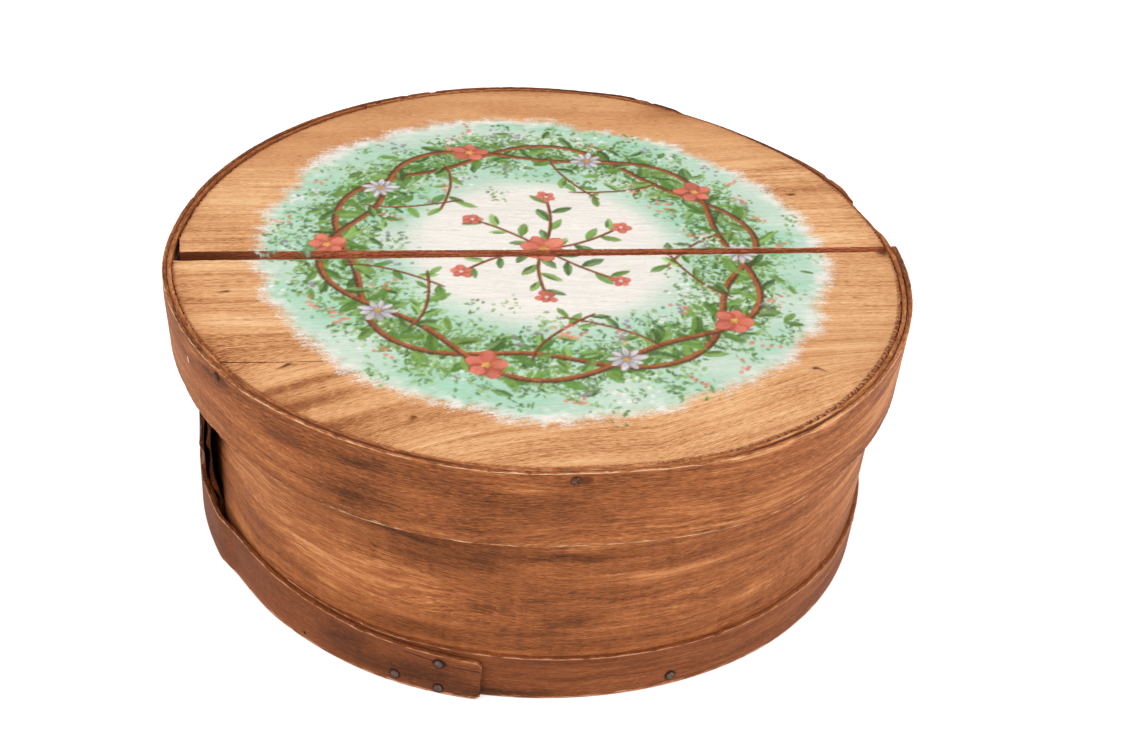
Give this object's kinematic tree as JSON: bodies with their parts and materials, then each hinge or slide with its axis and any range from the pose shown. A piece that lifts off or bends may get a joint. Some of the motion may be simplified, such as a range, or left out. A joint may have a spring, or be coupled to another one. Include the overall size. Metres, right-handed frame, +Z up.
{
  "type": "round bentwood cheese box",
  "caption": "Round bentwood cheese box: veneer side with a base hoop, board bottom, and a lift-off board lid in a deep bent rim, nailed together.",
  "frame": {"origin": "middle of the bottom, on the ground", "axes": "+Z up; the front, where the base hoop's lap ends, faces -Y; the side's lap is at -X"},
  "size_m": [0.4011, 0.3998, 0.1551],
  "materials": {
    "board_wood": "worn, lightly sealed",
    "bent_wood": "aged satin",
    "nail_iron": "dull, rusted"
  },
  "bodies": {
    "box": {"bottom_board_front": "board_wood", "bottom_board_back": "board_wood", "side_inner_ply": "bent_wood", "side_outer_ply": "bent_wood", "base_hoop": "bent_wood", "base_nail_1": "nail_iron", "base_nail_2": "nail_iron", "base_nail_3": "nail_iron", "base_nail_4": "nail_iron", "base_nail_5": "nail_iron", "base_nail_6": "nail_iron", "base_nail_7": "nail_iron", "base_nail_8": "nail_iron", "base_nail_9": "nail_iron", "hoop_lap_tack_1": "nail_iron", "side_lap_tack_1": "nail_iron", "side_lap_tack_2": "nail_iron", "side_lap_tack_3": "nail_iron"},
    "lid": {"lid_board_front": "board_wood", "lid_board_back": "board_wood", "lid_rim_inner_ply": "bent_wood", "lid_rim_outer_ply": "bent_wood", "lid_nail_1": "nail_iron", "lid_nail_2": "nail_iron", "lid_nail_3": "nail_iron", "lid_nail_4": "nail_iron", "lid_nail_5": "nail_iron", "lid_nail_6": "nail_iron", "lid_nail_7": "nail_iron"}
  },
  "joints": [
    {"name": "lid_lift", "type": "slide", "parent": "box", "child": "lid", "axis": [0, 0, 1], "range_m": [0, 0.12]}
  ]
}
